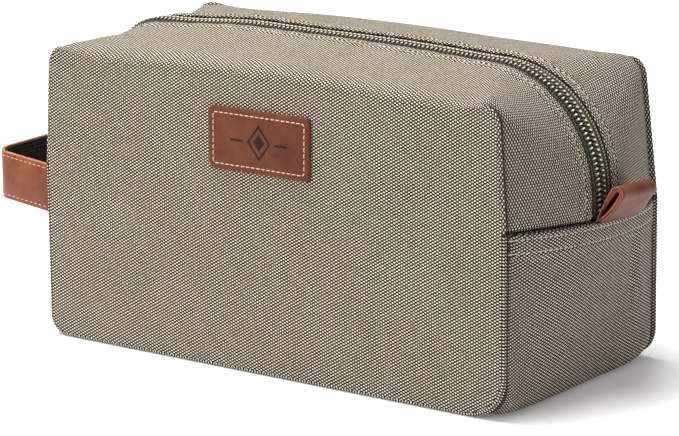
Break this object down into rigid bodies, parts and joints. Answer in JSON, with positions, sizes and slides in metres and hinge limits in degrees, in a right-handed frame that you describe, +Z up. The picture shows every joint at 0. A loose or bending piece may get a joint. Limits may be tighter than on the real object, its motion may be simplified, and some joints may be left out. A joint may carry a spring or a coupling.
{
  "type": "shaving kit bag",
  "caption": "Boxy canvas wash bag with a coil zip over the top, leather end strap handle, folded leather tab and stitched leather patch.",
  "frame": {"origin": "centre of the underside, on the surface the bag stands on", "axes": "+X toward the end with the folded tab, -Y toward the face with the patch, +Z up"},
  "size_m": [0.3284, 0.1276, 0.1481],
  "materials": {
    "canvas": "coarse plain weave",
    "lining": "smooth woven nylon",
    "zip_tape": "woven tape",
    "zip_coil": "satin nylon",
    "leather": "smooth",
    "patch_leather": "smooth",
    "backing": "webbing",
    "foam": "foam sheet",
    "board": "fibre board",
    "metal": "brushed antique"
  },
  "bodies": {
    "bag": {"front_panel": "canvas", "back_panel": "canvas", "gusset_panel": "canvas", "front_foam": "foam", "back_foam": "foam", "base_board": "board", "lining_front": "lining", "lining_back": "lining", "lining_gusset": "lining", "zip_tape_front": "zip_tape", "zip_tape_back": "zip_tape", "zip_coil_front": "zip_coil", "zip_coil_back": "zip_coil", "zip_end_stop": "metal", "handle_strap": "leather", "handle_backing": "backing", "end_tab": "leather", "label_patch": "patch_leather"},
    "front_flap": {"front_flap_canvas": "canvas", "front_flap_lining": "lining", "front_flap_tape": "zip_tape", "front_flap_coil": "zip_coil"},
    "back_flap": {"back_flap_canvas": "canvas", "back_flap_lining": "lining", "back_flap_tape": "zip_tape", "back_flap_coil": "zip_coil"},
    "slider": {"slider_body": "metal", "slider_bail": "metal"},
    "pull": {"zip_pull": "metal"}
  },
  "joints": [
    {"name": "front_flap_fold", "type": "hinge", "parent": "bag", "child": "front_flap", "pos_m": [0, -0.053, 0.142], "axis": [1, 0, 0], "range_deg": [0, 60]},
    {"name": "back_flap_fold", "type": "hinge", "parent": "bag", "child": "back_flap", "pos_m": [0, 0.053, 0.142], "axis": [-1, 0, 0], "range_deg": [0, 60]},
    {"name": "slider_travel", "type": "hinge", "parent": "bag", "child": "slider", "pos_m": [-0.104, 0, 0.113], "axis": [0, 1, 0], "range_deg": [0, 74]},
    {"name": "pull_swing", "type": "hinge", "parent": "slider", "child": "pull", "pos_m": [-0.14193, 0, 0.11833], "axis": [0, 1, 0], "range_deg": [0, 165]}
  ]
}
